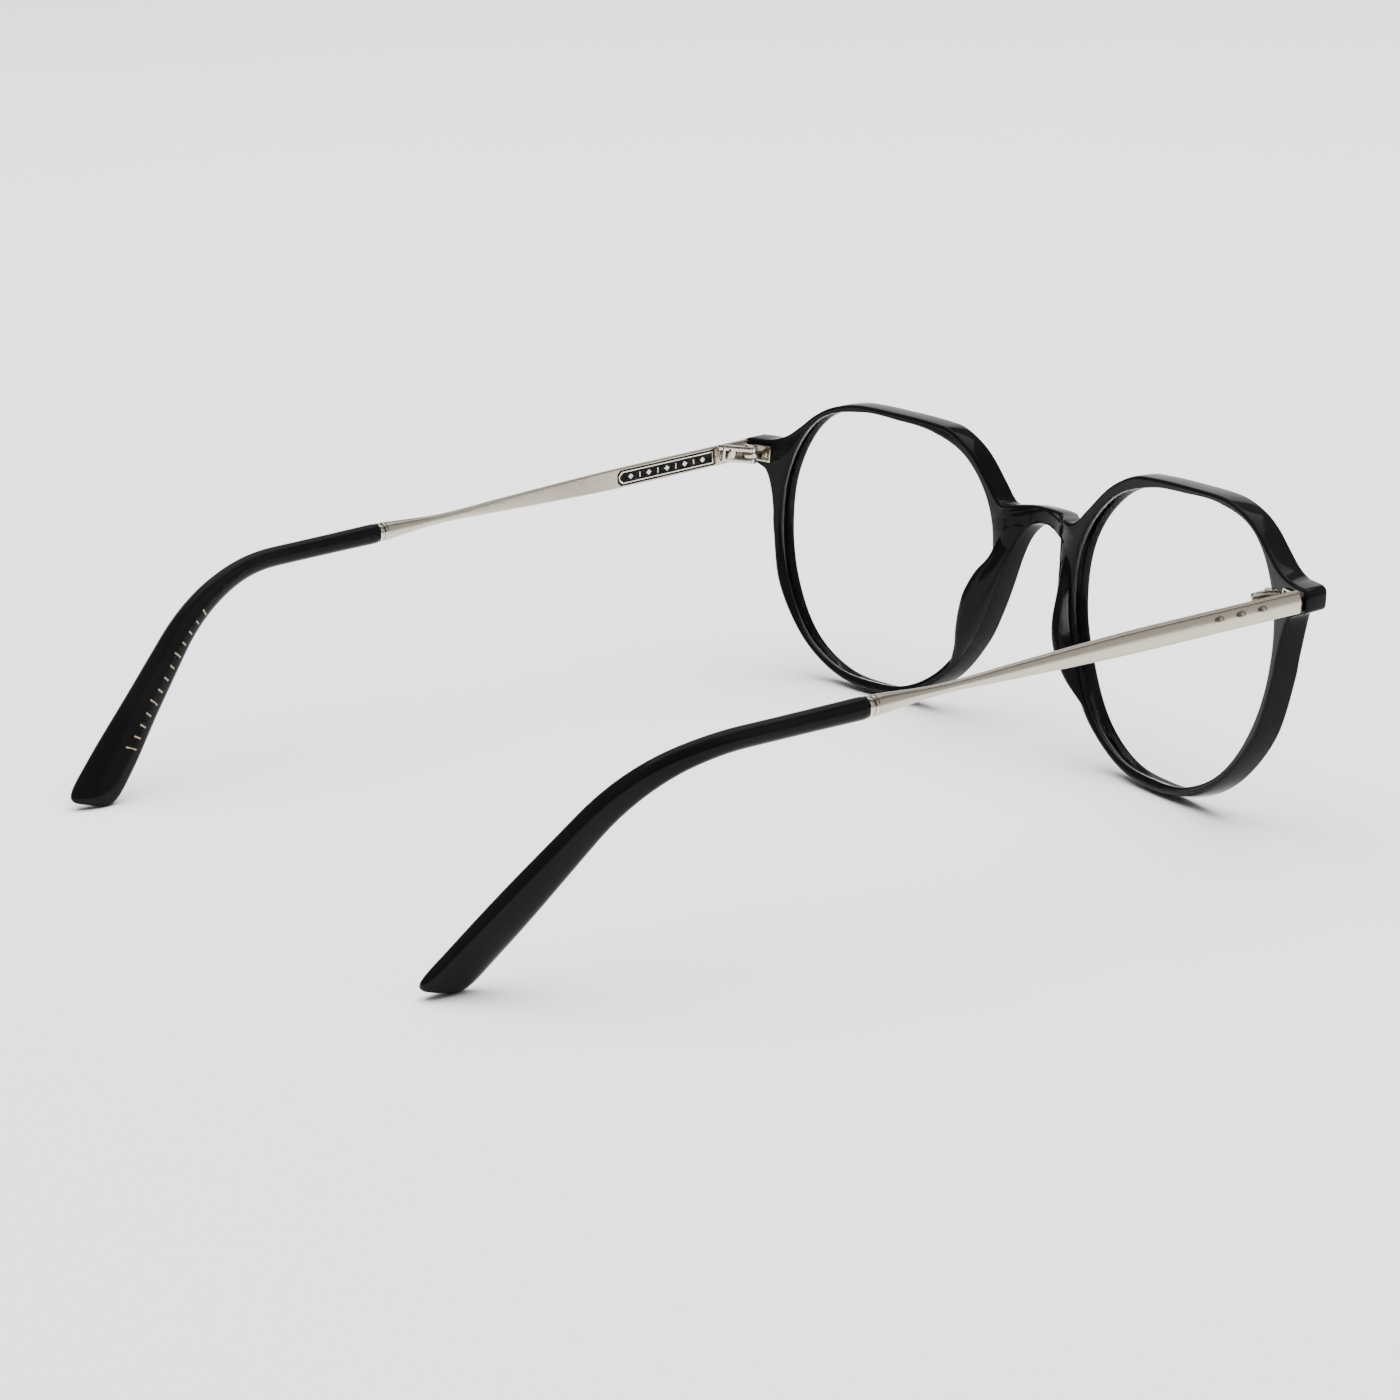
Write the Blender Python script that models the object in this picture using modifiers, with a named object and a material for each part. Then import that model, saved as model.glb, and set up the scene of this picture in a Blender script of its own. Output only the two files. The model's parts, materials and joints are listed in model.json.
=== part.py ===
"""Eyeglasses: a one-piece acetate front with glued nose pads, clear lenses, barrel hinges,
stamped metal temple bars and bent acetate temple tips.

Everything is modelled in the front's own frame, in millimetres: +X to the wearer's left, +Y to
the rear, +Z up the lenses. The root empty then stands the glasses on their rims and tips.
"""
import math

import bmesh
import bpy
from mathutils import Matrix, Vector

MM = 0.001

# Front
LENS_CENTRE_X = 34.5                  # half of eye size 51 plus bridge 18
EYE_RADII = (24.6, 25.8, 25.7, 22.7, 21.0, 22.1, 24.5, 25.5,
             24.4, 22.8, 22.3, 21.7, 21.1, 22.0, 23.1, 23.7)   # every 22.5 degrees from the temple side
LENS_CURVE_RADIUS = 172.0             # base curve of the front's rear surface
WRAP_ANGLE = math.radians(5.6)        # face form of each eye
FRONT_THICKNESS = 3.8
RIM_CHAMFER = 0.35
OUTER_CHAMFER = 0.4
# Half of the outer outline as (x, z), from the top of the bridge over the rim and round to its underside
BRIDGE_TOP = ((0.0, 13.0), (3.0, 12.9), (6.0, 12.4), (8.2, 12.1), (9.8, 12.8), (12.0, 14.9))
RIM_TOP = ((16.4, 18.8), (21.5, 21.3), (26.0, 21.9), (34.5, 22.1), (44.0, 22.0), (49.5, 20.8))
LUG_TOP = ((53.2, 19.0), (56.4, 16.6), (59.4, 14.6), (62.9, 13.5), (67.1, 13.2))
LUG_END = ((67.9, 12.9), (68.2, 12.2), (68.2, 10.6), (67.9, 10.0), (67.1, 9.7))
LUG_BOTTOM = ((65.2, 9.5), (63.2, 8.3), (62.0, 5.8), (61.2, 2.6))
RIM_BOTTOM = ((60.6, -1.2), (58.0, -9.6), (51.5, -17.1), (43.3, -21.4), (34.5, -22.6),
              (25.8, -21.2), (17.6, -16.6))
NASAL_WALL = ((12.2, -10.3), (9.6, -5.0), (7.6, 0.4), (6.2, 4.8), (5.1, 7.6), (3.7, 9.4),
              (2.2, 10.2), (0.0, 10.4))
OUTLINE_STEPS = 3                     # points that each outline span is divided into
BRIDGE_STEPS = 2                      # spans across the middle of the bridge
BRIDGE_EDGE_X = 7.5                   # where the bridge starts to leave the lens curve
BRIDGE_FLAT_X = 3.5                   # where it has left it
BRIDGE_REAR_Y = -2.2                  # the bridge's rear face, set in behind the rims
BRIDGE_FRONT_Y = -5.4
LUG_START_X = 61.0                    # where the front's edges start to turn into line with the temples
LUG_TURNED_X = 65.0                   # where they have turned
GROOVE_DEPTH = 0.75
GROOVE_HALF_WIDTH = 1.0

# Lenses
LENS_THICKNESS = 1.2
LENS_BEVEL = 0.6                      # how far the edge's V reaches into the groove
LENS_SEGMENTS = 64
LENS_RINGS = (0.99, 0.66, 0.33)

# Nose pads: height, x and y of the pad's rearmost edge, and half its thickness there
PAD_EDGE = ((6.8, 8.2, -0.2, 0.25), (5.8, 8.2, 0.2, 0.35), (4.6, 8.4, 0.55, 0.45), (3.2, 8.9, 1.05, 0.55),
            (1.2, 9.9, 2.1, 0.7), (-2.0, 10.8, 3.15, 0.8), (-5.0, 11.4, 3.3, 0.8), (-8.0, 12.3, 2.75, 0.75),
            (-11.0, 13.6, 1.6, 0.6), (-13.5, 15.5, 0.4, 0.4), (-15.0, 16.7, -0.3, 0.2))
PAD_SEAT_GAP = 0.06

# Temples
TEMPLE_ORIGIN = (66.45, 7.1, 11.45)   # middle of the bar's front end
TOE_IN = math.radians(2.65)
TEMPLE_DROP = math.radians(10.4)
BAR_END_SLOPE = math.tan(math.radians(16.0))   # the bar's end follows the lug's rear face
# Stations of the bar: distance, half thickness, half height, roundness from 0 (D-shaped) to 1
BAR_STATIONS = ((0.0, 0.8, 1.45, 0.0), (0.5, 0.85, 1.6, 0.0), (8.0, 0.85, 1.6, 0.0),
                (24.0, 0.85, 1.6, 0.0), (30.0, 0.83, 1.55, 0.0), (36.0, 0.8, 1.42, 0.1),
                (43.0, 0.76, 1.22, 0.2), (50.0, 0.72, 1.0, 0.4), (55.0, 0.7, 0.8, 0.6),
                (59.5, 0.7, 0.72, 0.8), (63.0, 0.82, 0.86, 1.0), (66.5, 1.1, 1.14, 1.0),
                (70.2, 1.38, 1.42, 1.0))
D_SECTION = ((-1.0, -0.83), (-1.0, 0.83), (-0.7, 1.0), (0.3, 0.98), (0.75, 0.75),
             (1.0, 0.35), (1.0, -0.35), (0.75, -0.75), (0.3, -0.98), (-0.7, -1.0))
ROUND_ANGLES = (215, 145, 120, 80, 50, 20, -20, -50, -80, -120)
TANG_RADIUS = 0.7
TANG_END = 76.0
COLLAR_LENGTH = 1.4
COLLAR_RADIUS = 1.5
FIT_GAP = 0.05

BEND_START = 89.8
BEND_RADIUS = 30.2
BEND_ANGLE = math.radians(43.9)
TIP_DRIFT = math.tan(math.radians(13.2))       # how the tips close in behind the ears
DRIFT_EASE = 8.0
TIP_CANT = math.radians(8.0)          # how far the flat of the tip turns, lower edge inwards
CANT_SPAN = (96.0, 118.0)
END_SLANT = math.tan(math.radians(28.0))       # the tip's end is cut level with the floor
SLANT_SPAN = (122.0, 135.0)
# Stations of the tip: distance, half thickness, half height
TIP_STATIONS = ((71.75, 1.3, 1.35), (72.3, 1.5, 1.55), (90.0, 1.5, 1.5), (97.0, 1.5, 1.6),
                (104.0, 1.55, 1.87), (113.0, 1.6, 2.27), (122.0, 1.65, 2.72), (130.0, 1.7, 3.12),
                (136.5, 1.68, 3.28), (138.6, 1.5, 3.08), (139.6, 1.05, 2.56), (140.0, 0.5, 1.75))
TIP_SIDES = 14
TIP_SQUARENESS = 2.5

INLAY_START = 7.1
INLAY_END = 26.5
INLAY_HALF_HEIGHT = 1.25
INLAY_CHAMFER = 0.6
INLAY_DEPTH = 0.25
RIVET_PLACES = (7.2, 10.9, 14.6)
RIVET_RADIUS = 0.5
RIVET_HOLE_DEPTH = 0.3

# Hinges
PIVOT = (62.5, 9.0, 11.0)
KNUCKLE_RADIUS = 1.2
KNUCKLE_SPAN = (9.65, 12.35)          # bottom and top of the barrel
SLOT_SPAN = (10.5, 11.5)              # where the front's tongue passes between the temple's two ears
SCREW_RADIUS = 0.55
SCREW_HEAD_RADIUS = 0.95
SCREW_HEAD_HEIGHT = 0.25
PLATE_SIZE = (3.4, 0.5, 2.6)
PLATE_X = 63.6
PLATE_Z = 11.2
TONGUE_ROOT = 0.5                     # how far the tongue's root reaches inwards from the pivot
BASE_END = 14.0                       # rear end of the temple hinge's base, along Y
BASE_THICKNESS = 0.7

STAND_TILT = math.radians(7.05)       # rims and tips then stand on one plane

MATERIALS = {
    "black_acetate": ((0.006, 0.006, 0.007, 1.0), 0.12, 0.0),
    "clear_lens": ((0.96, 0.98, 0.98, 1.0), 0.03, 0.0),
    "champagne_metal": ((0.62, 0.57, 0.49, 1.0), 0.3, 1.0),
    "polished_metal": ((0.72, 0.69, 0.64, 1.0), 0.15, 1.0),
    "black_enamel": ((0.012, 0.012, 0.013, 1.0), 0.2, 0.0),
}


# ---------------------------------------------------------------- scene helpers
def clear_scene():
    for obj in list(bpy.data.objects):
        bpy.data.objects.remove(obj, do_unlink=True)


def make_collection(name):
    collection = bpy.data.collections.new(name)
    bpy.context.scene.collection.children.link(collection)
    return collection


def make_material(name):
    colour, roughness, metallic = MATERIALS[name]
    material = bpy.data.materials.new(name)
    material.use_nodes = True
    shader = material.node_tree.nodes["Principled BSDF"]
    shader.inputs["Base Color"].default_value = colour
    shader.inputs["Roughness"].default_value = roughness
    shader.inputs["Metallic"].default_value = metallic
    if name == "clear_lens":
        shader.inputs["Transmission Weight"].default_value = 1.0
        shader.inputs["IOR"].default_value = 1.49
    material.diffuse_color = colour
    return material


def object_from(bm, name, material, collection, parent=None):
    """Turn a millimetre bmesh into an object in metres."""
    bmesh.ops.recalc_face_normals(bm, faces=bm.faces)
    bmesh.ops.scale(bm, vec=Vector((MM, MM, MM)), verts=bm.verts)
    mesh = bpy.data.meshes.new(name)
    bm.to_mesh(mesh)
    bm.free()
    obj = bpy.data.objects.new(name, mesh)
    collection.objects.link(obj)
    if material:
        mesh.materials.append(material)
    obj.parent = parent
    return obj


def empty_at(name, collection, location, rotation=None, parent=None):
    obj = bpy.data.objects.new(name, None)
    collection.objects.link(obj)
    obj.empty_display_size = 5 * MM
    obj.parent = parent
    matrix = rotation.to_4x4() if rotation else Matrix.Identity(4)
    matrix.translation = Vector(location) * MM
    obj.matrix_local = matrix
    return obj


def combine(target, tool, operation):
    """Add an exact Boolean modifier that cuts or joins the tool."""
    modifier = target.modifiers.new(operation.lower(), "BOOLEAN")
    modifier.operation = operation
    modifier.object = tool
    modifier.solver = "EXACT"
    tool.hide_render = True
    tool.display_type = "WIRE"


def as_tool(obj, tools):
    for collection in list(obj.users_collection):
        collection.objects.unlink(obj)
    tools.objects.link(obj)
    return obj


# ---------------------------------------------------------------- curves
def catmull_rom(p0, p1, p2, p3, u):
    return 0.5 * ((2 * p1) + (p2 - p0) * u + (2 * p0 - 5 * p1 + 4 * p2 - p3) * u * u
                  + (3 * p1 - p0 - 3 * p2 + p3) * u ** 3)


def smooth_path(points, steps):
    """Catmull-Rom curve through the points, each span divided into steps."""
    pts = [Vector(p) for p in points]
    pts = [2 * pts[0] - pts[1]] + pts + [2 * pts[-1] - pts[-2]]
    path = []
    for i in range(1, len(pts) - 2):
        for k in range(steps):
            path.append(catmull_rom(pts[i - 1], pts[i], pts[i + 1], pts[i + 2], k / steps))
    path.append(pts[-2])
    return path


def eye_radius(angle):
    """Radius of the lens opening in a direction, smooth all the way round."""
    count = len(EYE_RADII)
    place = (angle / (2 * math.pi) * count) % count
    i = int(place)
    return catmull_rom(*(EYE_RADII[(i + k) % count] for k in (-1, 0, 1, 2)), place - i)


def smoothstep(value):
    value = min(max(value, 0.0), 1.0)
    return value * value * (3 - 2 * value)


# ---------------------------------------------------------------- front
def front_point(x, z, depth):
    """Point of the curved front over (x, z), depth in front of its rear surface."""
    s = x - LENS_CENTRE_X
    base = Vector((s, (s * s + z * z) / (2 * LENS_CURVE_RADIUS), z))
    wrap = Matrix.Rotation(WRAP_ANGLE, 3, "Z")
    forward = wrap @ Vector((s / LENS_CURVE_RADIUS, -1.0, z / LENS_CURVE_RADIUS)).normalized()
    turned = smoothstep((x - LUG_START_X) / (LUG_TURNED_X - LUG_START_X))
    forward = forward.lerp(Vector((0.0, -math.cos(TEMPLE_DROP), math.sin(TEMPLE_DROP))), turned)
    point = wrap @ base + forward * depth
    point.x += LENS_CENTRE_X
    blend = smoothstep((BRIDGE_EDGE_X - x) / (BRIDGE_EDGE_X - BRIDGE_FLAT_X))
    share = depth / FRONT_THICKNESS
    flat = Vector((x, BRIDGE_REAR_Y + (BRIDGE_FRONT_Y - BRIDGE_REAR_Y) * share, z))
    return point.lerp(flat, blend)


def outline_points():
    """Half of the outer outline, with its inward direction at each point."""
    upper = smooth_path(BRIDGE_TOP + RIM_TOP + LUG_TOP, OUTLINE_STEPS)
    end = smooth_path(LUG_END, 1)
    lower = smooth_path(LUG_BOTTOM + RIM_BOTTOM + NASAL_WALL, OUTLINE_STEPS)
    path = upper + end + lower
    rows = []
    for i, point in enumerate(path):
        before = path[max(i - 1, 0)]
        after = path[min(i + 1, len(path) - 1)]
        along = (after - before).normalized()
        inward = Vector((-along.y, along.x)) * -1.0
        if point.x < 0.001:
            inward = Vector((0.0, -1.0 if i == 0 else 1.0))
        rows.append((point, inward * OUTER_CHAMFER))
    low, high = path[-1].y, path[0].y
    for k in range(1, BRIDGE_STEPS):
        rows.append((Vector((0.0, low + (high - low) * k / BRIDGE_STEPS)), None))
    return rows


def front_section(point, inward):
    """One closed loop of the front's section, from the rear inner edge round to the groove."""
    s, t = point.x - LENS_CENTRE_X, point.y
    angle = math.atan2(t, s)
    radius = eye_radius(angle)
    ray = Vector((math.cos(angle), math.sin(angle)))
    centre = Vector((LENS_CENTRE_X, 0.0))
    opening = centre + ray * radius
    lip = centre + ray * (radius + RIM_CHAMFER)
    groove = centre + ray * (radius + GROOVE_DEPTH)
    shoulder = point + inward if inward else point
    chamfer = OUTER_CHAMFER if inward else 0.0
    middle = FRONT_THICKNESS / 2
    face = [lip.lerp(shoulder, k / 3) for k in range(4)]
    loop = [(opening, RIM_CHAMFER)]
    loop += [(p, 0.0) for p in face]
    loop += [(point, chamfer), (point, FRONT_THICKNESS - chamfer)]
    loop += [(p, FRONT_THICKNESS) for p in reversed(face)]
    loop += [(opening, FRONT_THICKNESS - RIM_CHAMFER), (opening, middle + GROOVE_HALF_WIDTH),
             (groove, middle), (opening, middle - GROOVE_HALF_WIDTH)]
    return [front_point(p.x, p.y, depth) for p, depth in loop]


def make_front(collection, material, parent):
    rows = outline_points()
    bm = bmesh.new()
    loops = [[bm.verts.new(p) for p in front_section(*row)] for row in rows]
    wall = (4, 5, 6)                            # the outer wall and its two chamfers
    for i, loop in enumerate(loops):
        after = loops[(i + 1) % len(loops)]
        at_middle = rows[i][0].x < 0.001 and rows[(i + 1) % len(rows)][0].x < 0.001
        for k in range(len(loop)):
            if at_middle and k in wall:
                continue                        # left open: the mirror closes it
            n = (k + 1) % len(loop)
            bm.faces.new((loop[k], loop[n], after[n], after[k]))
    for vert in bm.verts:
        if abs(vert.co.x) < 0.01:
            vert.co.x = 0.0
    bmesh.ops.remove_doubles(bm, verts=bm.verts, dist=0.005)
    front = object_from(bm, "front_frame", material, collection, parent)
    mirror = front.modifiers.new("other half", "MIRROR")
    mirror.use_axis = (True, False, False)
    mirror.merge_threshold = 0.01 * MM
    return front


# ---------------------------------------------------------------- lenses and pads
def lens_mesh():
    """Clear lens with a V edge that sits in the front's groove."""
    bm = bmesh.new()
    centre = Vector((LENS_CENTRE_X, 0.0))
    middle = FRONT_THICKNESS / 2
    half = LENS_THICKNESS / 2

    def ring(scale, extra, depth):
        verts = []
        for k in range(LENS_SEGMENTS):
            angle = 2 * math.pi * k / LENS_SEGMENTS
            radius = eye_radius(angle) * scale + extra
            p = centre + Vector((math.cos(angle), math.sin(angle))) * radius
            verts.append(bm.verts.new(front_point(p.x, p.y, depth)))
        return verts

    apex = ring(1.0, LENS_BEVEL, middle)
    for depth in (middle - half, middle + half):
        rings = [apex] + [ring(scale, 0.0, depth) for scale in LENS_RINGS]
        hub = bm.verts.new(front_point(LENS_CENTRE_X, 0.0, depth))
        for outer, inner in zip(rings, rings[1:]):
            for k in range(LENS_SEGMENTS):
                n = (k + 1) % LENS_SEGMENTS
                bm.faces.new((outer[k], outer[n], inner[n], inner[k]))
        for k in range(LENS_SEGMENTS):
            bm.faces.new((rings[-1][k], rings[-1][(k + 1) % LENS_SEGMENTS], hub))
    return bm


def nasal_x(z):
    """Where the front's nasal wall stands at a height."""
    wall = smooth_path(RIM_BOTTOM[-2:] + NASAL_WALL[:6], 6)
    for a, b in zip(wall, wall[1:]):
        if a.y <= z <= b.y:
            return a.x + (b.x - a.x) * (z - a.y) / (b.y - a.y)
    return wall[-1].x


def opening_x(z):
    """Where the lens opening's nasal side stands at a height."""
    low, high = math.pi * 0.8, math.pi * 1.3
    for _ in range(30):
        middle = (low + high) / 2
        if eye_radius(middle) * math.sin(middle) > z:
            low = middle
        else:
            high = middle
    return LENS_CENTRE_X + eye_radius(low) * math.cos(low)


def pad_mesh():
    """Nose pad: a fin on the rear of the nasal rim that leans out to follow the nose."""
    bm = bmesh.new()
    loops = []
    for z, x, y, half in smooth_path(PAD_EDGE, 2):
        inner = max(nasal_x(z) + 0.25, BRIDGE_EDGE_X)     # off the bridge's own curve
        outer = max(opening_x(z) - 0.25, inner + 0.8)
        seat = [front_point(inner, z, -PAD_SEAT_GAP), front_point(outer, z, -PAD_SEAT_GAP)]
        seat = [Vector((p.x, p.y, z)) for p in seat]
        y = max(y, max(seat[0].y, seat[1].y) + 0.15 + half * 0.6)
        crest = [Vector((x + half, y - half * 0.6, z)), Vector((x + half * 0.4, y, z)),
                 Vector((x - half * 0.5, y, z)), Vector((x - half, y - half * 0.6, z))]
        belly = seat[0].lerp(crest[3], 0.5) + Vector((-0.2, 0.1, 0.0)) * half
        loops.append([bm.verts.new(p) for p in (seat[0], seat[1], *crest, belly)])
    for a, b in zip(loops, loops[1:]):
        for k in range(len(a)):
            n = (k + 1) % len(a)
            bm.faces.new((a[k], a[n], b[n], b[k]))
    bm.faces.new(loops[0])
    bm.faces.new(loops[-1])
    return bm


# ---------------------------------------------------------------- temples
def bar_mesh():
    """Stamped bar: D-shaped at the front, a narrow neck, a round ferrule and a tang."""
    bm = bmesh.new()
    stations = smooth_path(BAR_STATIONS[2:], 2)
    stations = [Vector(row) for row in BAR_STATIONS[:2]] + stations
    stations += [Vector((BAR_STATIONS[-1][0], TANG_RADIUS, TANG_RADIUS, 1.0)),
                 Vector((TANG_END, TANG_RADIUS, TANG_RADIUS, 1.0))]
    loops = []
    for y, half_x, half_z, roundness in stations:
        loop = []
        for flat, angle in zip(D_SECTION, ROUND_ANGLES):
            a = math.radians(angle)
            unit = Vector(flat).lerp(Vector((math.cos(a), math.sin(a))), roundness)
            x = unit.x * half_x
            skew = x * BAR_END_SLOPE * smoothstep(1.0 - y / 4.0)
            loop.append(bm.verts.new((x, y + skew, unit.y * half_z)))
        loops.append(loop)
    for a, b in zip(loops, loops[1:]):
        for k in range(len(a)):
            n = (k + 1) % len(a)
            bm.faces.new((a[k], a[n], b[n], b[k]))
    bm.faces.new(loops[0])
    bm.faces.new(loops[-1])
    return bm


def temple_path(distance):
    """Centre of the temple and its direction, in the temple's own frame."""
    run = distance - BEND_START
    if run <= 0:
        centre, slope = Vector((0.0, distance, 0.0)), 0.0
    else:
        slope = min(run / BEND_RADIUS, BEND_ANGLE)
        straight = max(run - BEND_RADIUS * BEND_ANGLE, 0.0)
        centre = Vector((0.0,
                         BEND_START + BEND_RADIUS * math.sin(slope) + straight * math.cos(slope),
                         -BEND_RADIUS * (1 - math.cos(slope)) - straight * math.sin(slope)))
        eased = run * run / (2 * DRIFT_EASE) if run < DRIFT_EASE else run - DRIFT_EASE / 2
        centre.x = -TIP_DRIFT * eased
    return centre, slope


def share_of(distance, span):
    return smoothstep((distance - span[0]) / (span[1] - span[0]))


def tip_mesh():
    """Acetate tip: round behind the collar, bent down behind the ear, widening to its end."""
    bm = bmesh.new()
    loops = []
    stations = [Vector(row) for row in TIP_STATIONS[:2]]
    stations += smooth_path(TIP_STATIONS[2:9], 3)
    stations += [Vector(row) for row in TIP_STATIONS[9:]]
    for distance, half_x, half_z in stations:
        centre, slope = temple_path(distance)
        along = Vector((0.0, math.cos(slope), -math.sin(slope)))
        cant = TIP_CANT * share_of(distance, CANT_SPAN)
        up = Vector((0.0, math.sin(slope), math.cos(slope)))
        across = Vector((math.cos(cant), 0.0, 0.0)) - up * math.sin(cant)
        up = up * math.cos(cant) + Vector((math.sin(cant), 0.0, 0.0))
        up += along * END_SLANT * share_of(distance, SLANT_SPAN)
        loop = []
        for k in range(TIP_SIDES):
            a = 2 * math.pi * (k + 0.5) / TIP_SIDES
            c, s = math.cos(a), math.sin(a)
            x = math.copysign(abs(c) ** (2 / TIP_SQUARENESS), c) * half_x
            z = math.copysign(abs(s) ** (2 / TIP_SQUARENESS), s) * half_z
            loop.append(bm.verts.new(centre + across * x + up * z))
        loops.append(loop)
    for a, b in zip(loops, loops[1:]):
        for k in range(TIP_SIDES):
            n = (k + 1) % TIP_SIDES
            bm.faces.new((a[k], a[n], b[n], b[k]))
    bm.faces.new(loops[0])
    bm.faces.new(loops[-1])
    return bm


def cylinder_mesh(radius, length, segments, top_radius=None):
    bm = bmesh.new()
    top = radius if top_radius is None else top_radius
    bmesh.ops.create_cone(bm, cap_ends=True, segments=segments, radius1=radius, radius2=top, depth=length)
    return bm


def box_mesh(low, high):
    bm = bmesh.new()
    bmesh.ops.create_cube(bm, size=1.0)
    low, high = Vector(low), Vector(high)
    bmesh.ops.scale(bm, vec=high - low, verts=bm.verts)
    bmesh.ops.translate(bm, vec=(low + high) / 2, verts=bm.verts)
    return bm


def prism_mesh(outline, low, high):
    """Upright prism over an outline in the XY plane."""
    bm = bmesh.new()
    base = bm.faces.new([bm.verts.new((x, y, low)) for x, y in outline])
    top = bmesh.ops.extrude_face_region(bm, geom=[base])
    verts = [v for v in top["geom"] if isinstance(v, bmesh.types.BMVert)]
    bmesh.ops.translate(bm, vec=(0.0, 0.0, high - low), verts=verts)
    return bm


def inlay_mesh(margin, inner, outer):
    """Panel with a cut-cornered rear end, lying in the bar's inner face."""
    top = INLAY_HALF_HEIGHT + margin
    start, end, cut = INLAY_START - margin, INLAY_END + margin, INLAY_CHAMFER
    outline = ((start, -top), (end - cut, -top), (end, -top + cut),
               (end, top - cut), (end - cut, top), (start, top))
    bm = prism_mesh(outline, inner, outer)
    turn = Matrix(((0.0, 0.0, 1.0), (1.0, 0.0, 0.0), (0.0, 1.0, 0.0)))
    bmesh.ops.transform(bm, matrix=turn.to_4x4(), verts=bm.verts)
    return bm


def rivet_mesh():
    """Domed rivet head on a short shank, along +X."""
    bm = bmesh.new()
    bmesh.ops.create_uvsphere(bm, u_segments=14, v_segments=8, radius=RIVET_RADIUS)
    bmesh.ops.rotate(bm, cent=(0, 0, 0), matrix=Matrix.Rotation(math.pi / 2, 3, "Y"), verts=bm.verts)
    for vert in bm.verts:
        if vert.co.x < 0.0:
            vert.co.x = 0.0
    bmesh.ops.remove_doubles(bm, verts=bm.verts, dist=0.0001)
    flat = [f for f in bm.faces if all(abs(v.co.x) < 0.0001 for v in f.verts)]
    bmesh.ops.delete(bm, geom=flat, context="FACES")
    for vert in [v for v in bm.verts if not v.link_faces]:
        bm.verts.remove(vert)
    rim = [e for e in bm.edges if e.is_boundary]
    shank = bmesh.ops.extrude_edge_only(bm, edges=rim)
    verts = [v for v in shank["geom"] if isinstance(v, bmesh.types.BMVert)]
    bmesh.ops.translate(bm, vec=(-RIVET_HOLE_DEPTH + 0.1, 0.0, 0.0), verts=verts)
    bmesh.ops.contextual_create(bm, geom=[e for e in bm.edges if e.is_boundary])
    return bm


def rivet_places():
    return [Vector((BAR_STATIONS[2][1] - 0.02, y, 0.0)) for y in RIVET_PLACES]


# ---------------------------------------------------------------- hinges
def ear_outline(radius):
    """Round end about the pivot, running square into the temple hinge's base."""
    x, y = PIVOT[0], PIVOT[1]
    return [(x + radius * math.cos(a), y + radius * math.sin(a))
            for a in (math.radians(90 + 180 * k / 12) for k in range(13))]


def temple_hinge_mesh():
    """Base on the bar's inner face and the block that the two ears are cut from."""
    inner, outer = base_faces()
    front = PIVOT[1] - 1.6
    outline = ear_outline(KNUCKLE_RADIUS)
    corner = outline[-1][1]
    outline += [(inner, corner), (inner, front), (outer, front), (outer, BASE_END),
                (inner, BASE_END), (inner, outline[0][1])]
    return prism_mesh(outline, *KNUCKLE_SPAN)


def base_faces():
    """Inner and outer x of the temple hinge's base, beside the bar."""
    closing = math.tan(TOE_IN) * (BASE_END - TEMPLE_ORIGIN[1])
    bar_inner = TEMPLE_ORIGIN[0] - BAR_STATIONS[2][1] - FIT_GAP - closing
    return bar_inner - BASE_THICKNESS, bar_inner


def front_hinge_tongue():
    """Tongue from the shield plate to the barrel between the ears."""
    x, y = PIVOT[0], PIVOT[1]
    radius = KNUCKLE_RADIUS
    arc = [(x + radius * math.cos(a), y + radius * math.sin(a))
           for a in (math.radians(180 * k / 12) for k in range(13))]
    root = front_point(x, PIVOT[2], 0.0).y + 0.4
    rise = math.tan(WRAP_ANGLE * 2.7)
    outline = arc + [(x - TONGUE_ROOT, root - TONGUE_ROOT * rise), (x + radius, root + radius * rise)]
    return prism_mesh(outline, SLOT_SPAN[0] + FIT_GAP, SLOT_SPAN[1] - FIT_GAP)


def shield_plate():
    """Thin plate that lies on the lug's rear face."""
    seat = -FIT_GAP - 0.02
    here = front_point(PLATE_X, PLATE_Z, seat)
    across = (front_point(PLATE_X + 1.0, PLATE_Z, seat) - here).normalized()
    out = across.cross(front_point(PLATE_X, PLATE_Z - 1.0, seat) - here).normalized()
    w, d, h = PLATE_SIZE
    bm = box_mesh((-w / 2, 0.0, -h / 2), (w / 2, d, h / 2))
    place = Matrix((across, out, across.cross(out))).transposed().to_4x4()
    place.translation = here
    bmesh.ops.transform(bm, matrix=place, verts=bm.verts)
    return bm


def hole_cutter(extra):
    bm = cylinder_mesh(SCREW_RADIUS + extra, 8.0, 20)
    bmesh.ops.translate(bm, vec=PIVOT, verts=bm.verts)
    return bm


def screw_mesh():
    """Screw's shank along the hinge axis, reaching up into its head."""
    low = KNUCKLE_SPAN[0] + 0.1 - PIVOT[2]
    high = KNUCKLE_SPAN[1] + 0.15 - PIVOT[2]
    shank = cylinder_mesh(SCREW_RADIUS, high - low, 20)
    bmesh.ops.translate(shank, vec=(0.0, 0.0, (low + high) / 2), verts=shank.verts)
    return shank


# ---------------------------------------------------------------- assembly
def mirrored(bm):
    bmesh.ops.scale(bm, vec=(-1.0, 1.0, 1.0), verts=bm.verts)
    return bm


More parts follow.
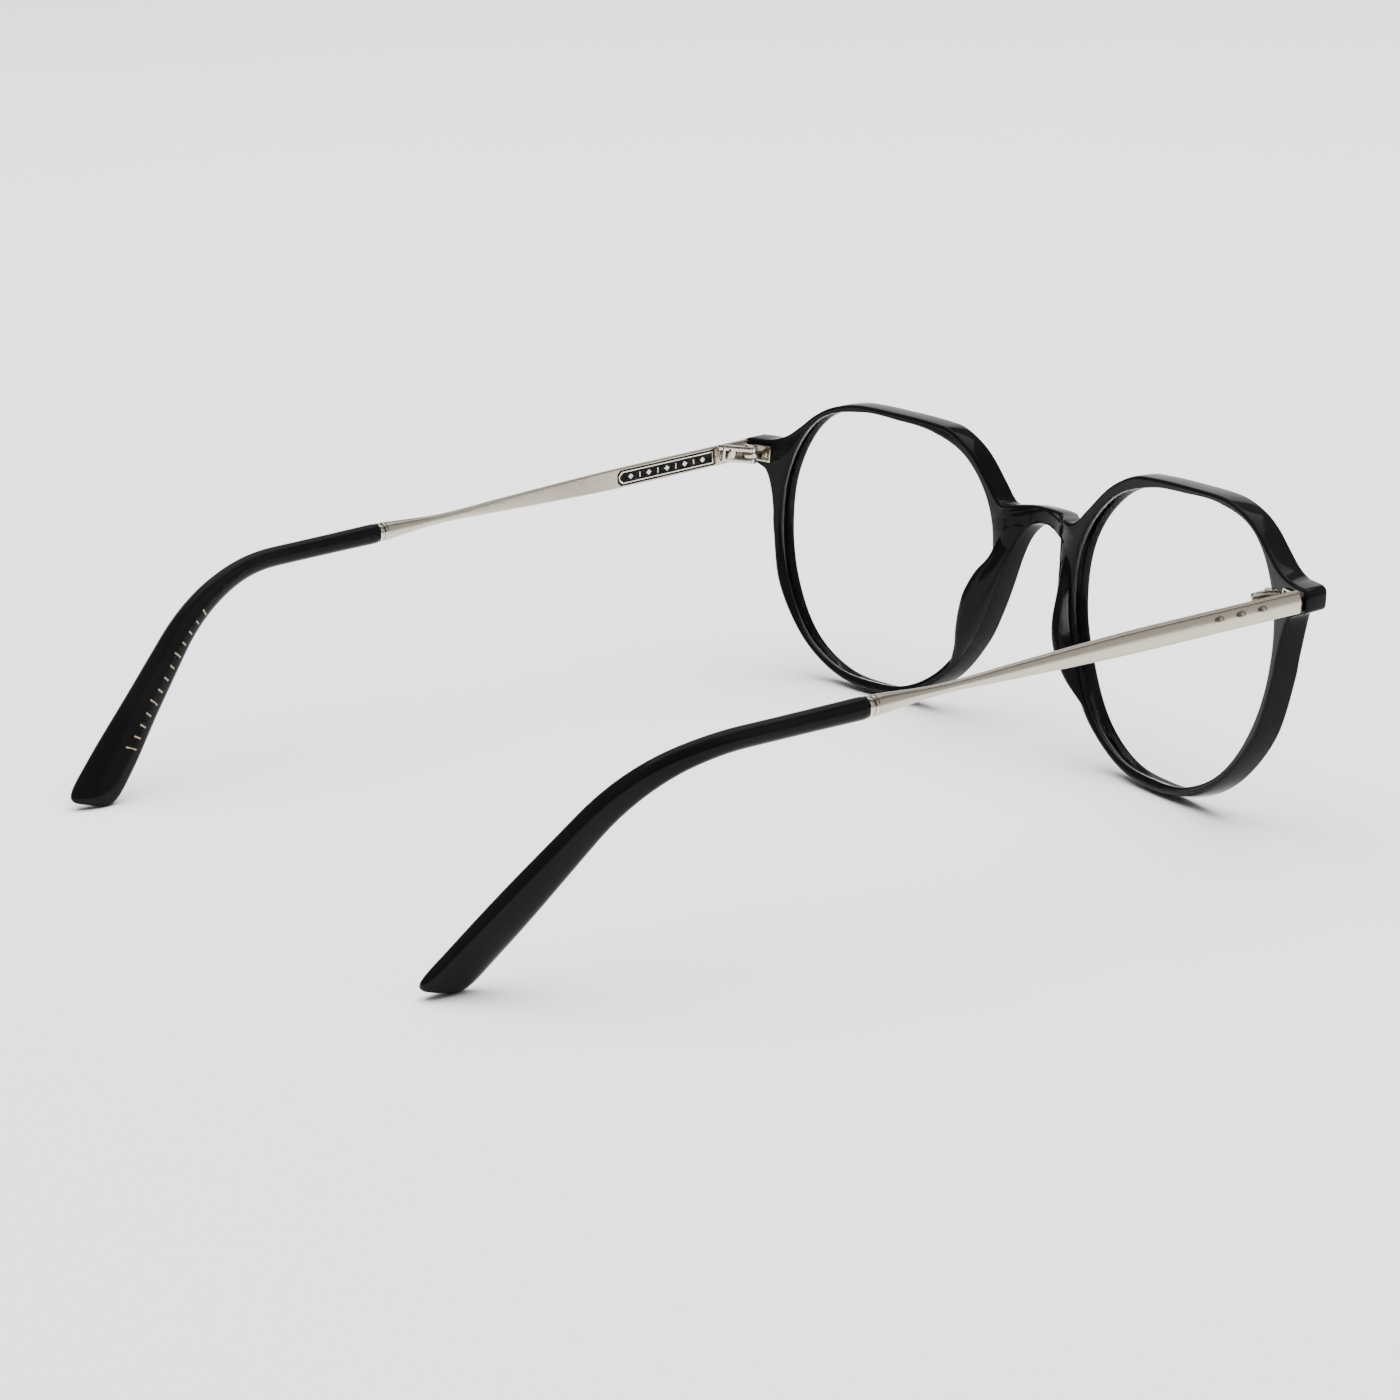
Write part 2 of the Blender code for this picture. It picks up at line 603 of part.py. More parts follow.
def make_side(side, parts, tools, materials, root):
    """All pieces of one side; side is 1 for the wearer's left and -1 for the right."""
    name = "left" if side > 0 else "right"
    acetate = materials["black_acetate"]
    metal = materials["champagne_metal"]
    bright = materials["polished_metal"]

    def build(bm, label, material, parent=None, offset=None):
        if offset:
            bmesh.ops.translate(bm, vec=-Vector(offset), verts=bm.verts)
        if side < 0:
            mirrored(bm)
        return object_from(bm, label, material, parts, parent)

    def tool(bm, label, parent=None, offset=None):
        return as_tool(build(bm, label + "_tool_" + name, None, parent, offset), tools)

    build(lens_mesh(), "lens_" + name, materials["clear_lens"], root)
    build(pad_mesh(), "nose_pad_" + name, acetate, root)

    front_hinge = build(shield_plate(), "front_hinge_" + name, bright, root)
    combine(front_hinge, tool(front_hinge_tongue(), "tongue", root), "UNION")
    combine(front_hinge, tool(hole_cutter(FIT_GAP), "tongue_hole", root), "DIFFERENCE")

    pivot_place = (side * PIVOT[0], PIVOT[1], PIVOT[2])
    pivot = empty_at(name + "_temple_pivot", parts, pivot_place, None, root)
    temple_hinge = build(temple_hinge_mesh(), "temple_hinge_" + name, bright, pivot, PIVOT)
    slot = box_mesh((PIVOT[0] - 3.0, PIVOT[1] - 3.0, SLOT_SPAN[0]),
                    (base_faces()[0] - 0.01, BASE_END + 3.0, SLOT_SPAN[1]))
    combine(temple_hinge, tool(slot, "hinge_slot", pivot, PIVOT), "DIFFERENCE")
    combine(temple_hinge, tool(hole_cutter(FIT_GAP), "hinge_hole", pivot, PIVOT), "DIFFERENCE")
    screw = build(screw_mesh(), "hinge_screw_" + name, bright, pivot)
    head = cylinder_mesh(SCREW_HEAD_RADIUS, SCREW_HEAD_HEIGHT, 20, SCREW_HEAD_RADIUS * 0.8)
    lift = KNUCKLE_SPAN[1] + FIT_GAP + SCREW_HEAD_HEIGHT / 2 - PIVOT[2]
    bmesh.ops.translate(head, vec=(0.0, 0.0, lift), verts=head.verts)
    combine(screw, tool(head, "screw_head", pivot), "UNION")

    line_turn = Matrix.Rotation(side * TOE_IN, 3, "Z") @ Matrix.Rotation(-TEMPLE_DROP, 3, "X")
    line_place = Vector(TEMPLE_ORIGIN) - Vector(PIVOT)
    line_place.x *= side
    line = empty_at(name + "_temple_line", parts, line_place, line_turn, pivot)

    inner_face = -BAR_STATIONS[2][1]
    bar = build(bar_mesh(), "temple_bar_" + name, metal, line)
    pocket = inlay_mesh(FIT_GAP, inner_face - 1.0, inner_face + INLAY_DEPTH)
    combine(bar, tool(pocket, "inlay_pocket", line), "DIFFERENCE")
    build(inlay_mesh(0.0, inner_face + 0.02, inner_face + INLAY_DEPTH - FIT_GAP), "inlay_" + name,
          materials["black_enamel"], line)
    for number, place in enumerate(rivet_places(), 1):
        hole = cylinder_mesh(RIVET_RADIUS + FIT_GAP, 2 * RIVET_HOLE_DEPTH, 14)
        bmesh.ops.rotate(hole, cent=(0, 0, 0), matrix=Matrix.Rotation(math.pi / 2, 3, "Y"), verts=hole.verts)
        bmesh.ops.translate(hole, vec=place, verts=hole.verts)
        combine(bar, tool(hole, "rivet_hole_%d" % number, line), "DIFFERENCE")
        rivet = build(rivet_mesh(), "rivet_%s_%d" % (name, number), bright, line)
        rivet.location = Vector((side * place.x, place.y, place.z)) * MM

    collar = cylinder_mesh(COLLAR_RADIUS, COLLAR_LENGTH, 24)
    bmesh.ops.rotate(collar, cent=(0, 0, 0), matrix=Matrix.Rotation(math.pi / 2, 3, "X"), verts=collar.verts)
    collar = build(collar, "tip_collar_" + name, bright, line)
    collar.location = Vector((0.0, BAR_STATIONS[-1][0] + FIT_GAP + COLLAR_LENGTH / 2, 0.0)) * MM
    bore = cylinder_mesh(TANG_RADIUS + FIT_GAP, 2 * (TANG_END - BAR_STATIONS[-1][0]), 20)
    bmesh.ops.rotate(bore, cent=(0, 0, 0), matrix=Matrix.Rotation(math.pi / 2, 3, "X"), verts=bore.verts)
    bmesh.ops.translate(bore, vec=(0.0, BAR_STATIONS[-1][0] + 0.1, 0.0), verts=bore.verts)
    bore = tool(bore, "tang_bore", line)
    combine(collar, bore, "DIFFERENCE")
    tip = build(tip_mesh(), "temple_tip_" + name, acetate, line)
    combine(tip, bore, "DIFFERENCE")


def stand_on_floor(root, parts):
    """Tilt the glasses onto their rims and tips, with the box's bottom centre at the origin."""
    root.rotation_euler = (STAND_TILT, 0.0, 0.0)
    bpy.context.view_layer.update()
    graph = bpy.context.evaluated_depsgraph_get()
    corners = []
    for obj in parts.objects:
        if obj.type == "MESH":
            mesh = obj.evaluated_get(graph).to_mesh()
            corners += [obj.matrix_world @ v.co for v in mesh.vertices]
    low_z = min(c.z for c in corners)
    ys = [c.y for c in corners]
    root.location = (0.0, -(min(ys) + max(ys)) / 2, -low_z)
    bpy.context.view_layer.update()


def main():
    clear_scene()
    parts = make_collection("eyeglasses")
    tools = make_collection("cutters")
    materials = {name: make_material(name) for name in MATERIALS}
    root = empty_at("eyeglasses_root", parts, (0.0, 0.0, 0.0))
    make_front(parts, materials["black_acetate"], root)
    for side in (1, -1):
        make_side(side, parts, tools, materials, root)
    stand_on_floor(root, parts)


main()
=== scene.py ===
"""Looks of the eyeglasses: polished acetate front and tips, satin metal temples, hinges and lenses.

Pieces are shaped in the front's own frame, in millimetres (+X to the wearer's left, +Y to the rear,
+Z up the lenses), or in a temple's frame (+Y along the bar), and then put in place in the mesh.
"""

import json
import math

import bmesh
import bpy
from mathutils import Matrix, Vector


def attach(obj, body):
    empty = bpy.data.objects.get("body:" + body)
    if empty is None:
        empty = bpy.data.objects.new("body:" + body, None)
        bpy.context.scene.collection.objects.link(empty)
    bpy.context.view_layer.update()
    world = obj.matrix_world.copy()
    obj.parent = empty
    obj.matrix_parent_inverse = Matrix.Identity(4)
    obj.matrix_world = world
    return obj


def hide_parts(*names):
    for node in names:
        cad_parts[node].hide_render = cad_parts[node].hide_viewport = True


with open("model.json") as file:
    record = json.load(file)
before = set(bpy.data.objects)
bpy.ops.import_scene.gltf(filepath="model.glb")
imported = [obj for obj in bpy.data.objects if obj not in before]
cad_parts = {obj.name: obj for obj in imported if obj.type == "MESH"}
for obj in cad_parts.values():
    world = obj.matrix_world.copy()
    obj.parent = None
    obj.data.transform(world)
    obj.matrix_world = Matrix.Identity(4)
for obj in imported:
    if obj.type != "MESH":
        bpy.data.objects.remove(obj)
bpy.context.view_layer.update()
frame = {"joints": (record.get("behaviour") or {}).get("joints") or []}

MM = 0.001
SIDES = ((1, "left"), (-1, "right"))

# ---- the front, as the solid model has it
LENS_CENTRE_X = 34.5
EYE_RADII = (24.6, 25.8, 25.7, 22.7, 21.0, 22.1, 24.5, 25.5,
             24.4, 22.8, 22.3, 21.7, 21.1, 22.0, 23.1, 23.7)
LENS_CURVE_RADIUS = 172.0
WRAP_ANGLE = math.radians(5.6)
FRONT_THICKNESS = 3.8
BRIDGE_TOP = ((0.0, 13.0), (3.0, 12.9), (6.0, 12.4), (8.2, 12.1), (9.8, 12.8), (12.0, 14.9))
RIM_TOP = ((16.4, 18.8), (21.5, 21.3), (26.0, 21.9), (34.5, 22.1), (44.0, 22.0), (49.5, 20.8))
LUG_TOP = ((53.2, 19.0), (56.4, 16.6), (59.4, 14.6), (62.9, 13.5), (67.1, 13.2))
LUG_END = ((67.9, 12.9), (68.2, 12.2), (68.2, 10.6), (67.9, 10.0), (67.1, 9.7))
LUG_BOTTOM = ((65.2, 9.5), (63.2, 8.3), (62.0, 5.8), (61.2, 2.6))
RIM_BOTTOM = ((60.6, -1.2), (58.0, -9.6), (51.5, -17.1), (43.3, -21.4), (34.5, -22.6),
              (25.8, -21.2), (17.6, -16.6))
NASAL_WALL = ((12.2, -10.3), (9.6, -5.0), (7.6, 0.4), (6.2, 4.8), (5.1, 7.6), (3.7, 9.4),
              (2.2, 10.2), (0.0, 10.4))
OUTLINE_STEPS = 9
LUG_END_STEPS = 4
BRIDGE_STEPS = 5
BRIDGE_EDGE_X = 7.5
BRIDGE_FLAT_X = 3.5
BRIDGE_REAR_Y = -2.2
BRIDGE_FRONT_Y = -5.4
LUG_START_X = 61.0
LUG_TURNED_X = 65.0
OUTER_ROUNDING = 0.45
INNER_ROUNDING = 0.28
ROUNDING_STEPS = 4
GROOVE_DEPTH = 0.75
GROOVE_HALF_WIDTH = 1.0

# ---- lenses
LENS_THICKNESS = 1.2
LENS_BEVEL = 0.6
LENS_SEGMENTS = 128
LENS_SHARES = (0.02, 0.35, 0.7, 0.9, 1.0)

# ---- nose pads: height, x and y of the crest, and half its thickness
PAD_EDGE = ((7.6, 7.8, -0.6, 0.15), (6.8, 8.0, -0.2, 0.3), (5.8, 8.2, 0.2, 0.4),
            (4.6, 8.4, 0.55, 0.45), (3.2, 8.9, 1.05, 0.55), (1.2, 9.9, 2.1, 0.7),
            (-2.0, 10.8, 3.15, 0.8), (-5.0, 11.4, 3.3, 0.8), (-8.0, 12.3, 2.75, 0.75),
            (-11.0, 13.6, 1.6, 0.6), (-13.5, 15.5, 0.4, 0.4), (-15.0, 16.7, -0.3, 0.2))
PAD_STEPS = 4
PAD_SINK = 0.3
PAD_INSET = 0.12
PAD_SIDE_POINTS = 10
PAD_CREST_POINTS = 8

# ---- hinges and temples
PIVOT = Vector((62.5, 9.0, 11.0))
KNUCKLE_RADIUS = 1.2
KNUCKLE_SPAN = (9.65, 12.35)
SLOT_SPAN = (10.5, 11.5)
SCREW_HEAD_RADIUS = 0.95
SCREW_HEAD_HEIGHT = 0.28
SCREW_SHANK_RADIUS = 0.5
SCREW_SLOT_HALF_WIDTH = 0.14
SCREW_SLOT_DEPTH = 0.17
SCREW_TURN = 0.5
EAR_OUTER_X = 64.45
UPPER_EAR_REAR = 14.1
LOWER_EAR_REAR = 13.0
BASE_SPAN = (5.2, 6.98)
BASE_HALF_HEIGHT = 1.3
BASE_THICKNESS = 0.35
RIB_COUNT = 4
RIB_START = 5.75
RIB_PITCH = 0.34
RIB_WIDTH = 0.16
RIB_HALF_HEIGHT = 1.2
RIB_RISE = 0.14
PLATE_SIZE = (3.4, 0.5, 2.6)
PLATE_X = 63.6
PLATE_Z = 11.2
PLATE_RIM = 0.22
PLATE_FLOOR = 0.12
TEMPLE_ORIGIN = Vector((66.45, 7.1, 11.45))
TOE_IN = math.radians(2.65)
TEMPLE_DROP = math.radians(10.4)
BAR_INNER = -0.85
BAR_END_SLOPE = math.tan(math.radians(16.0))
# Stations of the bar: distance, half thickness, half height, roundness
BAR_FRONT = ((0.0, 0.66, 1.36, 0.0), (0.06, 0.75, 1.47, 0.0), (0.2, 0.82, 1.56, 0.0),
             (0.45, 0.85, 1.6, 0.0))
BAR_STATIONS = ((0.9, 0.85, 1.6, 0.0), (8.0, 0.85, 1.6, 0.0), (24.0, 0.85, 1.6, 0.0),
                (30.0, 0.83, 1.55, 0.0), (36.0, 0.8, 1.42, 0.1), (43.0, 0.76, 1.22, 0.2),
                (50.0, 0.72, 1.0, 0.4),
                (55.0, 0.7, 0.8, 0.6), (59.5, 0.7, 0.72, 0.8), (63.0, 0.82, 0.86, 1.0),
                (66.5, 1.1, 1.14, 1.0), (69.9, 1.37, 1.41, 1.0))
BAR_REAR = ((70.1, 1.36, 1.4, 1.0), (70.2, 1.28, 1.32, 1.0))
BAR_STEPS = 4
BAR_SKEW_LENGTH = 4.0
HALF_D = ((-1.0, 0.0), (-1.0, 0.8), (-0.95, 0.93), (-0.8, 1.0), (-0.3, 1.0), (0.15, 0.96),
          (0.5, 0.84), (0.78, 0.6), (0.95, 0.3), (1.0, 0.0))
COLLAR_PLACE = 70.25
COLLAR_PROFILE = ((1.2, 0.0), (1.4, 0.04), (1.47, 0.14), (1.47, 0.4), (1.4, 0.5), (1.2, 0.56),
                  (1.2, 0.86), (1.4, 0.92), (1.48, 1.02), (1.48, 1.3), (1.4, 1.4))
INLAY_START = 7.1
INLAY_END = 26.5
INLAY_HALF_HEIGHT = 1.25
INLAY_CHAMFER = 0.6
INLAY_DEPTH = 0.25
INLAY_SUNK = 0.03
BORDER_MARGINS = (-0.26, -0.44)
TRIM_RISE = 0.04
LOZENGE_COUNT = 9
LOZENGE_START = 2.4
LOZENGE_PITCH = 1.8
LOZENGE_SIZE = (0.5, 0.45)
DASH_SIZE = (0.09, 0.42)
RIVET_PLACES = (7.2, 10.9, 14.6)
RIVET_PROFILE = ((0.9, -0.2), (0.9, -0.02), (0.84, 0.06), (0.74, 0.17), (0.6, 0.28), (0.43, 0.37),
                 (0.24, 0.43), (0.06, 0.45))
RIVET_HEIGHT = 0.2
RIVET_SINK = 0.02
BEND_START = 89.8
BEND_RADIUS = 30.2
BEND_ANGLE = math.radians(43.9)
TIP_DRIFT = math.tan(math.radians(13.2))
DRIFT_EASE = 8.0
TIP_CANT = math.radians(8.0)
CANT_SPAN = (96.0, 118.0)
END_SLANT = math.tan(math.radians(28.0))
SLANT_SPAN = (122.0, 135.0)
FACET_SPAN = (90.0, 108.0)
TIP_FRONT = ((71.72, 1.2, 1.25), (71.78, 1.36, 1.4), (71.95, 1.46, 1.5), (72.3, 1.5, 1.54))
TIP_STATIONS = ((73.0, 1.5, 1.55), (80.0, 1.5, 1.5), (90.0, 1.5, 1.5), (97.0, 1.5, 1.6),
                (104.0, 1.55, 1.87), (113.0, 1.6, 2.27), (122.0, 1.65, 2.72), (130.0, 1.7, 3.12),
                (136.5, 1.68, 3.28))
TIP_REAR = ((137.8, 1.64, 3.22), (138.7, 1.52, 3.08), (139.3, 1.3, 2.84), (139.7, 1.0, 2.48),
            (139.93, 0.6, 2.0), (140.0, 0.25, 1.5))
TIP_STEPS = 5
TIP_SIDES = 40
TIP_SQUARENESS = 2.6
TIP_RIDGE = 0.2
# Scale on the tip: places along it, and where each line runs round the section, in degrees
SCALE_COUNT = 13
SCALE_START = 106.0
SCALE_PITCH = 2.0
SCALE_LONG_EVERY = 4
SCALE_SHORT_SPAN = (186, 206)
SCALE_LONG_SPAN = (181, 211)
SCALE_HALF_WIDTH = 0.14
SCALE_STEPS = 4
SCALE_LIFTS = (-0.05, 0.03)


# ---------------------------------------------------------------- places
def standing():
    """Matrix from the front's frame in millimetres to the row frame in metres."""
    joint = next(j for j in frame["joints"] if j["name"] == "left_temple_hinge")
    up = Vector(joint["axis"])
    turn = Matrix.Rotation(math.atan2(-up.y, up.z), 4, "X")
    matrix = turn @ Matrix.Scale(MM, 4)
    matrix.translation = Vector(joint["pos_m"]) - turn @ (PIVOT * MM)
    return matrix


def temple_place():
    """Matrix from the left temple's frame to the front's frame."""
    turn = Matrix.Rotation(TOE_IN, 4, "Z") @ Matrix.Rotation(-TEMPLE_DROP, 4, "X")
    turn.translation = TEMPLE_ORIGIN
    return turn


STANDING = standing()


# ---------------------------------------------------------------- curves
def catmull_rom(p0, p1, p2, p3, u):
    return 0.5 * ((2 * p1) + (p2 - p0) * u + (2 * p0 - 5 * p1 + 4 * p2 - p3) * u * u
                  + (3 * p1 - p0 - 3 * p2 + p3) * u ** 3)


def smooth_path(points, steps):
    """Catmull-Rom curve through the points, each span divided into steps."""
    pts = [Vector(p) for p in points]
    pts = [2 * pts[0] - pts[1]] + pts + [2 * pts[-1] - pts[-2]]
    path = []
    for i in range(1, len(pts) - 2):
        for k in range(steps):
            path.append(catmull_rom(pts[i - 1], pts[i], pts[i + 1], pts[i + 2], k / steps))
    path.append(pts[-2])
    return path


def stations_along(front, middle, rear, steps):
    """Rows of a long piece, from its sharp front end along a smooth run to its rear end."""
    return [Vector(row) for row in front] + smooth_path(middle, steps) + [Vector(row) for row in rear]


def eye_radius(angle):
    """Radius of the lens opening in a direction."""
    count = len(EYE_RADII)
    place = (angle / (2 * math.pi) * count) % count
    i = int(place)
    return catmull_rom(*(EYE_RADII[(i + k) % count] for k in (-1, 0, 1, 2)), place - i)


def smoothstep(value):
    value = min(max(value, 0.0), 1.0)
    return value * value * (3 - 2 * value)


def front_point(x, z, depth):
    """Point of the curved front over (x, z), depth in front of its rear surface."""
    s = x - LENS_CENTRE_X
    base = Vector((s, (s * s + z * z) / (2 * LENS_CURVE_RADIUS), z))
    wrap = Matrix.Rotation(WRAP_ANGLE, 3, "Z")
    forward = wrap @ Vector((s / LENS_CURVE_RADIUS, -1.0, z / LENS_CURVE_RADIUS)).normalized()
    turned_in = smoothstep((x - LUG_START_X) / (LUG_TURNED_X - LUG_START_X))
    forward = forward.lerp(Vector((0.0, -math.cos(TEMPLE_DROP), math.sin(TEMPLE_DROP))), turned_in)
    point = wrap @ base + forward * depth
    point.x += LENS_CENTRE_X
    blend = smoothstep((BRIDGE_EDGE_X - x) / (BRIDGE_EDGE_X - BRIDGE_FLAT_X))
    share = depth / FRONT_THICKNESS
    flat = Vector((x, BRIDGE_REAR_Y + (BRIDGE_FRONT_Y - BRIDGE_REAR_Y) * share, z))
    return point.lerp(flat, blend)


# ---------------------------------------------------------------- modelling by hand
def edit(select="SELECT"):
    bpy.ops.object.mode_set(mode="EDIT")
    bpy.ops.mesh.select_all(action=select)


def leave_edit():
    bpy.ops.object.mode_set(mode="OBJECT")


def swept(rings, capped=True):
    """Ring of edges extruded from place to place, with its ends filled."""
    bpy.ops.object.select_all(action="DESELECT")
    count = len(rings[0])
    bpy.ops.mesh.primitive_circle_add(vertices=count)
    piece = bpy.context.object
    edit()
    for number, ring in enumerate(rings):
        if number:
            bpy.ops.mesh.extrude_region_move()
        mesh = bmesh.from_edit_mesh(piece.data)
        mesh.verts.ensure_lookup_table()
        for vert, place in zip(mesh.verts[-count:], ring):
            vert.co = place
        bmesh.update_edit_mesh(piece.data)
    bpy.ops.mesh.select_all(action="SELECT")
    bpy.ops.mesh.remove_doubles(threshold=0.002)
    if capped:
        bpy.ops.mesh.fill_holes(sides=0)
    bpy.ops.mesh.normals_make_consistent(inside=False)
    leave_edit()
    return piece


def delete_faces(piece, chosen):
    """Delete the faces that a test picks."""
    edit("DESELECT")
    bpy.ops.mesh.select_mode(type="FACE")
    leave_edit()
    for face in piece.data.polygons:
        face.select = chosen(face)
    bpy.ops.object.mode_set(mode="EDIT")
    bpy.ops.mesh.delete(type="FACE")
    bpy.ops.mesh.select_mode(type="VERT")
    leave_edit()


def prism(outline, low, high):
    """Upright block over a flat outline."""
    return swept([[(x, y, z) for x, y in outline] for z in (low, high)])


def turned(profile, segments=36):
    """Round solid about Z from (radius, height) pairs."""
    turns = [2 * math.pi * k / segments for k in range(segments)]
    return swept([[(r * math.cos(a), r * math.sin(a), h) for a in turns] for r, h in profile])


def block(low, high):
    low, high = Vector(low), Vector(high)
    bpy.ops.object.select_all(action="DESELECT")
    bpy.ops.mesh.primitive_cube_add(size=1.0)
    piece = bpy.context.object
    piece.data.transform(Matrix.LocRotScale((low + high) / 2, None, high - low))
    return piece


def choose(piece):
    bpy.ops.object.select_all(action="DESELECT")
    bpy.context.view_layer.objects.active = piece
    piece.select_set(True)


def rounded(piece, width, segments=3):
    """Round the sharp edges."""
    choose(piece)
    bevel = piece.modifiers.new("rounded edges", "BEVEL")
    bevel.width = width
    bevel.segments = segments
    bevel.limit_method = "ANGLE"
    bpy.ops.object.modifier_apply(modifier=bevel.name)
    return piece


def cut(piece, cutter):
    """Take the cutter's shape out of the piece."""
    choose(piece)
    away = piece.modifiers.new("cut", "BOOLEAN")
    away.object = cutter
    away.operation = "DIFFERENCE"
    bpy.ops.object.modifier_apply(modifier=away.name)
    bpy.data.objects.remove(cutter, do_unlink=True)
    return piece


def joined(pieces):
    choose(pieces[0])
    for piece in pieces:
        piece.select_set(True)
    bpy.ops.object.join()
    return pieces[0]


def put(piece, name, place, material, body, nodes=(), side=1, smooth=35):
    """Name a finished shape, bring it to its place in the row frame and let it ride on its body."""
    piece.name = name
    piece.data.name = name
    mirror = Matrix.Scale(side, 4, (1, 0, 0))
    piece.data.transform(STANDING @ mirror @ place @ piece.matrix_basis)
    piece.matrix_basis = Matrix.Identity(4)
    if side < 0:
        piece.data.flip_normals()
    piece.data.materials.clear()
    piece.data.materials.append(material)
    choose(piece)
    if smooth:
        bpy.ops.object.shade_smooth_by_angle(angle=math.radians(smooth))
    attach(piece, body)
    if nodes:
        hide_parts(*nodes)
    return piece


def pair(shape, name, place, material, node="", on_temple=True, smooth=35):
    """A left piece and its mirrored twin on the right."""
    twin = shape.copy()
    twin.data = shape.data.copy()
    bpy.context.collection.objects.link(twin)
    for (side, label), piece in zip(SIDES, (shape, twin)):
        body = label + "_temple" if on_temple else "front"
        nodes = (node % label,) if node else ()
        put(piece, name + label, place, material, body, nodes, side, smooth)


# ---------------------------------------------------------------- materials
def new_material(name):
    material = bpy.data.materials.new(name)
    material.use_nodes = True
    tree = material.node_tree
    return material, tree, tree.nodes["Principled BSDF"]


def object_coordinates(tree, scale):
    place = tree.nodes.new("ShaderNodeTexCoord")
    mapping = tree.nodes.new("ShaderNodeMapping")
    mapping.inputs["Scale"].default_value = scale
    tree.links.new(place.outputs["Object"], mapping.inputs["Vector"])
    return mapping.outputs["Vector"]


def noise(tree, vector, scale, detail=2.0, roughness=0.5):
    node = tree.nodes.new("ShaderNodeTexNoise")
    node.inputs["Scale"].default_value = scale
    node.inputs["Detail"].default_value = detail
    node.inputs["Roughness"].default_value = roughness
    tree.links.new(vector, node.inputs["Vector"])
    return node.outputs["Fac"]


def remap(tree, value, low, high, to_low, to_high):
    node = tree.nodes.new("ShaderNodeMapRange")
    node.inputs["From Min"].default_value = low
    node.inputs["From Max"].default_value = high
    node.inputs["To Min"].default_value = to_low
    node.inputs["To Max"].default_value = to_high
    tree.links.new(value, node.inputs["Value"])
    return node.outputs["Result"]


def ramp(tree, value, stops):
    node = tree.nodes.new("ShaderNodeValToRGB")
    elements = node.color_ramp.elements
    for element, (place, colour) in zip(elements, stops):
        element.position = place
        element.color = colour
    for place, colour in stops[2:]:
        elements.new(place).color = colour
    tree.links.new(value, node.inputs["Fac"])
    return node.outputs["Color"]


def bump(tree, shader, height, strength, distance):
    node = tree.nodes.new("ShaderNodeBump")
    node.inputs["Strength"].default_value = strength
    node.inputs["Distance"].default_value = distance
    tree.links.new(height, node.inputs["Height"])
    tree.links.new(node.outputs["Normal"], shader.inputs["Normal"])


def polished_acetate():
    """Deep black plastic with the faint unevenness that hand polishing leaves."""
    material, tree, shader = new_material("polished_black_acetate")
    place = object_coordinates(tree, (1.0, 1.0, 1.0))
    cloud = noise(tree, place, 60.0, 3.0)
    colour = ramp(tree, cloud, ((0.3, (0.0035, 0.0035, 0.0038, 1)), (0.7, (0.0065, 0.0065, 0.007, 1))))
    tree.links.new(colour, shader.inputs["Base Color"])
    haze = noise(tree, place, 900.0, 4.0, 0.6)
    tree.links.new(remap(tree, haze, 0.35, 0.7, 0.06, 0.14), shader.inputs["Roughness"])
    shader.inputs["IOR"].default_value = 1.48
    shader.inputs["Specular IOR Level"].default_value = 0.08
    bump(tree, shader, noise(tree, place, 220.0, 2.0), 0.05, 0.0002)
    return material


def clear_lens():
    """Thin clear lens with a coating that leaves almost no reflection."""
    material, tree, shader = new_material("coated_clear_lens")
    place = object_coordinates(tree, (1.0, 1.0, 1.0))
    film = noise(tree, place, 25.0, 1.0)
    colour = ramp(tree, film, ((0.3, (0.985, 0.992, 0.99, 1)), (0.7, (0.995, 0.997, 0.999, 1))))
    tree.links.new(colour, shader.inputs["Base Color"])
    shader.inputs["Roughness"].default_value = 0.0
    shader.inputs["IOR"].default_value = 1.03
    shader.inputs["Transmission Weight"].default_value = 1.0
    return material


def satin_metal():
    """Champagne nickel alloy, drawn along the bar and then lightly polished."""
    material, tree, shader = new_material("satin_champagne_metal")
    along = object_coordinates(tree, (1.0, 0.03, 1.0))
    grain = noise(tree, along, 5200.0, 3.0, 0.7)
    colour = ramp(tree, grain, ((0.3, (0.48, 0.43, 0.35, 1)), (0.7, (0.51, 0.46, 0.38, 1))))
    tree.links.new(colour, shader.inputs["Base Color"])
    tree.links.new(remap(tree, grain, 0.3, 0.7, 0.24, 0.32), shader.inputs["Roughness"])
    shader.inputs["Metallic"].default_value = 1.0
    bump(tree, shader, grain, 0.02, 0.00001)
    return material


def bright_metal():
    """Polished metal of the hinges, screws and collars."""
    material, tree, shader = new_material("polished_hinge_metal")
    place = object_coordinates(tree, (1.0, 1.0, 1.0))
    wear = noise(tree, place, 1500.0, 4.0, 0.65)
    colour = ramp(tree, wear, ((0.3, (0.56, 0.51, 0.43, 1)), (0.7, (0.62, 0.57, 0.49, 1))))
    tree.links.new(colour, shader.inputs["Base Color"])
    tree.links.new(remap(tree, wear, 0.3, 0.7, 0.1, 0.2), shader.inputs["Roughness"])
    shader.inputs["Metallic"].default_value = 1.0
    bump(tree, shader, wear, 0.06, 0.00003)
    return material


def black_enamel():
    """Hard enamel poured into the inlay panel."""
    material, tree, shader = new_material("black_enamel_fill")
    place = object_coordinates(tree, (1.0, 1.0, 1.0))
    cloud = noise(tree, place, 700.0, 3.0)
    colour = ramp(tree, cloud, ((0.3, (0.006, 0.006, 0.0065, 1)), (0.7, (0.012, 0.012, 0.013, 1))))
    tree.links.new(colour, shader.inputs["Base Color"])
    tree.links.new(remap(tree, cloud, 0.3, 0.7, 0.2, 0.3), shader.inputs["Roughness"])
    shader.inputs["Specular IOR Level"].default_value = 0.05
    bump(tree, shader, cloud, 0.08, 0.00005)
    return material


